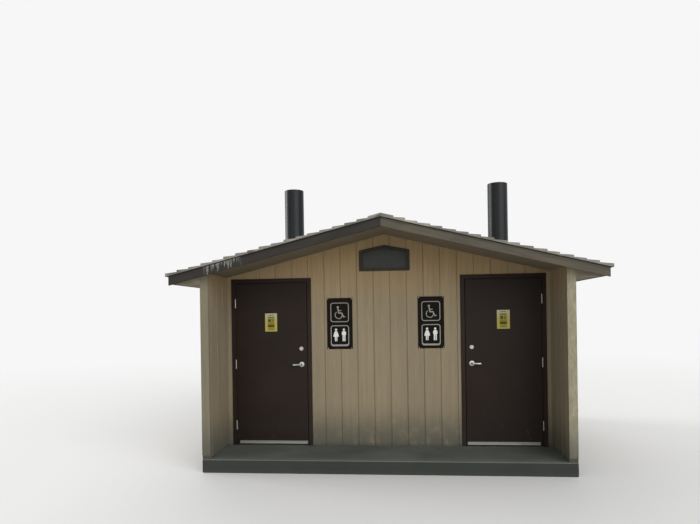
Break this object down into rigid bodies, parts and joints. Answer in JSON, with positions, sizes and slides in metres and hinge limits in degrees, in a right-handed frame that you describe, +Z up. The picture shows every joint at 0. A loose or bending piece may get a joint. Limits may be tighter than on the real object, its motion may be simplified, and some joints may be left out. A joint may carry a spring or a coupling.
{
  "type": "wooden outhouse",
  "caption": "Low gable-roofed outhouse with a shallow porch between wing walls, dark flush doors that swing out, sign boards, a gable window, shakes and black vent stacks.",
  "frame": {"origin": "centre of the floor slab's underside", "axes": "+Z up, the porch and doors face -Y, +X to the right seen from the front"},
  "size_m": [4.81, 4.085, 3.9041],
  "materials": {
    "siding": "painted tan, vertical grooves",
    "trim": "painted dark brown",
    "door_steel": "painted dark brown, flush",
    "shakes": "weathered split shakes",
    "concrete": "broom-finished concrete",
    "satin_steel": "satin",
    "threshold_aluminium": "mill finish",
    "black_pipe": "matt black",
    "pane": "translucent grey",
    "sign_plastic": "engraved two-layer board",
    "notice_plate": "printed yellow"
  },
  "bodies": {
    "building": {"floor_slab": "concrete", "left_side_wall": "siding", "right_side_wall": "siding", "rear_wall": "siding", "front_wall_centre": "siding", "front_wall_left_edge": "siding", "front_wall_right_edge": "siding", "front_wall_over_left_door": "siding", "front_wall_over_right_door": "siding", "left_door_frame": "door_steel", "right_door_frame": "door_steel", "thresholds": "threshold_aluminium", "left_frame_hinges": "satin_steel", "right_frame_hinges": "satin_steel", "left_sign": "sign_plastic", "right_sign": "sign_plastic", "front_window_frame": "trim", "front_window_pane": "pane", "rear_window_frame": "trim", "rear_window_pane": "pane", "left_roof_panel": "siding", "right_roof_panel": "siding", "left_shakes": "shakes", "right_shakes": "shakes", "ridge_cap": "shakes", "front_left_rake": "trim", "front_right_rake": "trim", "rear_left_rake": "trim", "rear_right_rake": "trim", "eave_fascias": "trim", "eave_soffits": "siding", "left_vent_stack": "black_pipe", "right_vent_stack": "black_pipe", "left_stack_flashing": "black_pipe", "right_stack_flashing": "black_pipe"},
    "left_door": {"left_door": "door_steel", "left_door_hinges": "satin_steel", "left_lever_set": "satin_steel", "left_deadbolt": "satin_steel", "left_notice": "notice_plate"},
    "right_door": {"right_door": "door_steel", "right_door_hinges": "satin_steel", "right_lever_set": "satin_steel", "right_deadbolt": "satin_steel", "right_notice": "notice_plate"}
  },
  "joints": [
    {"name": "left_door_hinge", "type": "hinge", "parent": "building", "child": "left_door", "pos_m": [-1.877, -1.1425, 1.166], "axis": [0, 0, 1], "range_deg": [-90, 0]},
    {"name": "right_door_hinge", "type": "hinge", "parent": "building", "child": "right_door", "pos_m": [1.877, -1.1425, 1.166], "axis": [0, 0, 1], "range_deg": [0, 90]}
  ]
}
